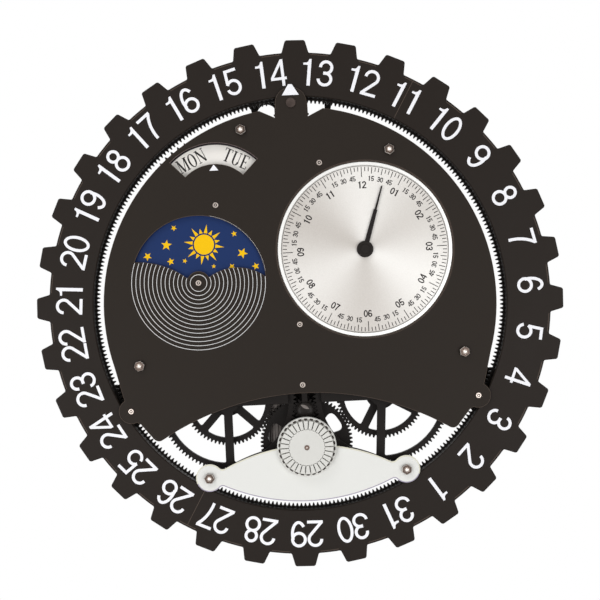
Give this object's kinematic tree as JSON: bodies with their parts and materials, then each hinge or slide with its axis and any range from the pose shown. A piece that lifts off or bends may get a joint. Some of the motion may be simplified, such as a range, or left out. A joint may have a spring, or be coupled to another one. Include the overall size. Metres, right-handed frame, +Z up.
{
  "type": "wall calendar clock",
  "caption": "Open-frame wall calendar clock: a toothed date ring turned by a visible spur gear train, with weekday and sky windows, a second-zone dial and a setting knob.",
  "frame": {"origin": "on the wall, behind the centre of the date ring", "axes": "+X to the viewer's right, +Z up, +Y into the wall, so the viewer looks along +Y"},
  "size_m": [0.4, 0.0493, 0.4],
  "materials": {
    "black_metal": "satin black lacquer",
    "white_plate": "satin white lacquer",
    "black_plastic": "matt black",
    "knob_silver": "satin white silver",
    "white_print": "flat white",
    "bright_steel": "fine brushed",
    "brass_screw": "dull",
    "motor_grey": "matt grey",
    "sky_blue": "printed satin blue",
    "brushed_silver": "circular brushed"
  },
  "bodies": {
    "frame": {"back_cover": "black_plastic", "rear_housing": "black_plastic", "rear_plate": "black_metal", "lower_bar": "black_metal", "bar_screws": "bright_steel", "spacer_posts": "bright_steel", "lower_studs": "bright_steel", "hex_nuts": "bright_steel", "front_plate": "black_metal", "lower_plate": "white_plate", "pointer": "white_print", "top_pin_cap": "brass_screw", "small_screws": "bright_steel", "gear_bridge": "black_metal", "bridge_posts": "bright_steel", "bridge_screws": "bright_steel", "bridge_cap": "black_metal", "drive_gearbox": "black_plastic", "drive_motor": "motor_grey", "roller_pins": "bright_steel", "disc_posts": "bright_steel", "time_dial": "brushed_silver", "time_movement": "motor_grey", "sky_movement": "motor_grey"},
    "date_ring": {"number_ring_left": "black_metal", "number_ring_right": "black_metal", "gear_ring_left": "black_plastic", "gear_ring_right": "black_plastic", "splice_plates": "bright_steel", "ring_screws": "bright_steel"},
    "top_roller_body": {"top_roller": "black_plastic"},
    "left_roller_body": {"left_roller": "black_plastic"},
    "right_roller_body": {"right_roller": "black_plastic"},
    "left_pinion_body": {"left_pinion": "black_plastic"},
    "right_pinion_body": {"right_pinion": "black_plastic"},
    "left_wheels": {"left_large_wheel": "black_plastic", "left_small_wheel": "black_plastic", "left_arbor": "bright_steel"},
    "right_wheels": {"right_large_wheel": "black_plastic", "right_small_wheel": "black_plastic", "right_arbor": "bright_steel"},
    "drive_shaft": {"drive_pinion": "black_plastic", "drive_arbor": "bright_steel"},
    "coupling_body": {"coupling_pinion": "black_plastic"},
    "top_shaft": {"top_gear": "black_plastic", "top_arbor": "bright_steel"},
    "knob_shaft": {"centre_wheel": "black_plastic", "centre_arbor": "bright_steel", "knob_base": "knob_silver", "knob_wheel": "knob_silver", "knob_screw": "brass_screw"},
    "sky_body": {"sky_disc": "sky_blue", "day_pinion": "black_plastic"},
    "weekday_body": {"day_wheel": "black_plastic", "day_disc": "white_print"},
    "hand_body": {"time_hand": "black_metal", "hand_arbor": "bright_steel"}
  },
  "joints": [
    {"name": "ring_turn", "type": "hinge", "parent": "frame", "child": "date_ring", "pos_m": [0, -0.0305, 0], "axis": [0, -1, 0], "continuous": true},
    {"name": "top_roller_turn", "type": "hinge", "parent": "frame", "child": "top_roller_body", "pos_m": [0, -0.032, 0.1517], "axis": [0, -1, 0], "continuous": true},
    {"name": "right_roller_turn", "type": "hinge", "parent": "frame", "child": "right_roller_body", "pos_m": [0.13138, -0.032, -0.07585], "axis": [0, -1, 0], "continuous": true},
    {"name": "left_roller_turn", "type": "hinge", "parent": "frame", "child": "left_roller_body", "pos_m": [-0.13138, -0.032, -0.07585], "axis": [0, -1, 0], "continuous": true},
    {"name": "left_pinion_turn", "type": "hinge", "parent": "frame", "child": "left_pinion_body", "pos_m": [-0.0745, -0.0275, -0.12904], "axis": [0, -1, 0], "continuous": true},
    {"name": "right_pinion_turn", "type": "hinge", "parent": "frame", "child": "right_pinion_body", "pos_m": [0.0745, -0.0275, -0.12904], "axis": [0, -1, 0], "continuous": true},
    {"name": "left_wheels_turn", "type": "hinge", "parent": "frame", "child": "left_wheels", "pos_m": [-0.05936, -0.0275, -0.07305], "axis": [0, -1, 0], "continuous": true},
    {"name": "right_wheels_turn", "type": "hinge", "parent": "frame", "child": "right_wheels", "pos_m": [0.05936, -0.0275, -0.07305], "axis": [0, -1, 0], "continuous": true},
    {"name": "drive_turn", "type": "hinge", "parent": "frame", "child": "drive_shaft", "pos_m": [-0.00298, -0.0275, -0.05253], "axis": [0, -1, 0], "continuous": true},
    {"name": "coupling_turn", "type": "hinge", "parent": "frame", "child": "coupling_body", "pos_m": [0, -0.0275, -0.08153], "axis": [0, -1, 0], "continuous": true},
    {"name": "top_gear_turn", "type": "hinge", "parent": "frame", "child": "top_shaft", "pos_m": [0, -0.0275, 0.142], "axis": [0, -1, 0], "continuous": true},
    {"name": "knob_turn", "type": "hinge", "parent": "frame", "child": "knob_shaft", "pos_m": [0, -0.0185, -0.10822], "axis": [0, -1, 0], "continuous": true},
    {"name": "sky_turn", "type": "hinge", "parent": "frame", "child": "sky_body", "pos_m": [-0.076, -0.0325, 0.0188], "axis": [0, -1, 0], "continuous": true},
    {"name": "weekday_turn", "type": "hinge", "parent": "frame", "child": "weekday_body", "pos_m": [-0.0604, -0.0325, 0.077], "axis": [0, -1, 0], "continuous": true},
    {"name": "hand_turn", "type": "hinge", "parent": "frame", "child": "hand_body", "pos_m": [0.051, -0.04, 0.0386], "axis": [0, -1, 0], "continuous": true}
  ],
  "couplings": [
    {"joint": "top_roller_turn", "follows": "ring_turn", "ratio": 31.4},
    {"joint": "right_roller_turn", "follows": "ring_turn", "ratio": 31.4},
    {"joint": "left_roller_turn", "follows": "ring_turn", "ratio": 31.4},
    {"joint": "left_pinion_turn", "follows": "ring_turn", "ratio": 25.833},
    {"joint": "right_pinion_turn", "follows": "ring_turn", "ratio": 25.833},
    {"joint": "left_wheels_turn", "follows": "ring_turn", "ratio": -2.9808},
    {"joint": "right_wheels_turn", "follows": "ring_turn", "ratio": -2.9808},
    {"joint": "drive_turn", "follows": "ring_turn", "ratio": 19.375},
    {"joint": "coupling_turn", "follows": "ring_turn", "ratio": 19.375},
    {"joint": "top_gear_turn", "follows": "ring_turn", "ratio": 11.923},
    {"joint": "knob_turn", "follows": "ring_turn", "ratio": 2.8956},
    {"joint": "weekday_turn", "follows": "sky_turn", "ratio": -0.14286}
  ]
}
